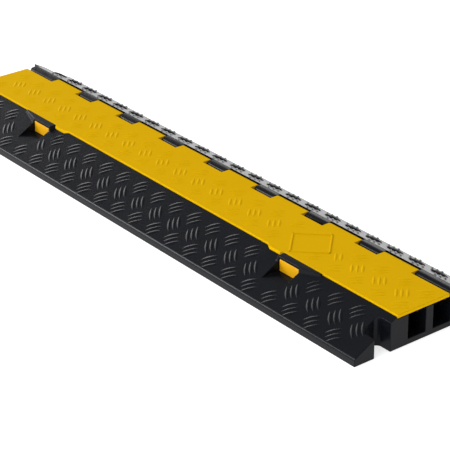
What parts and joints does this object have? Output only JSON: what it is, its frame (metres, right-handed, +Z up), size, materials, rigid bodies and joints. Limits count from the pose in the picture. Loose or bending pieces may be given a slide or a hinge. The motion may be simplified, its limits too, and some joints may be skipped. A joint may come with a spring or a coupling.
{
  "type": "floor cord cover",
  "caption": "Low rubber floor ramp with cord channels under a hinged plastic lid, latch hooks and interlocking ends.",
  "frame": {"origin": "middle of the ramp body's underside, on the floor, without the end tongues", "axes": "+X along the cords towards the sockets, +Y towards the hinge, +Z up; the latches face -Y"},
  "size_m": [1.0242, 0.25, 0.05],
  "materials": {
    "black_rubber": "moulded rubber with raised tread bars, slight sheen",
    "rod_steel": "plain drawn rod",
    "lid_yellow": "moulded safety yellow, raised tread bars, slight sheen",
    "hook_yellow": "moulded warm yellow, smooth"
  },
  "bodies": {
    "base": {"ramp_body": "black_rubber", "hinge_rod": "rod_steel"},
    "lid": {"lid": "lid_yellow", "latch_hook_left": "hook_yellow", "latch_hook_right": "hook_yellow"}
  },
  "joints": [
    {"name": "lid_hinge", "type": "hinge", "parent": "base", "child": "lid", "pos_m": [0, 0.0504, 0.0435], "axis": [-1, 0, 0], "range_deg": [0, 95], "deforming": ["latch_hook_left", "latch_hook_right"]}
  ]
}
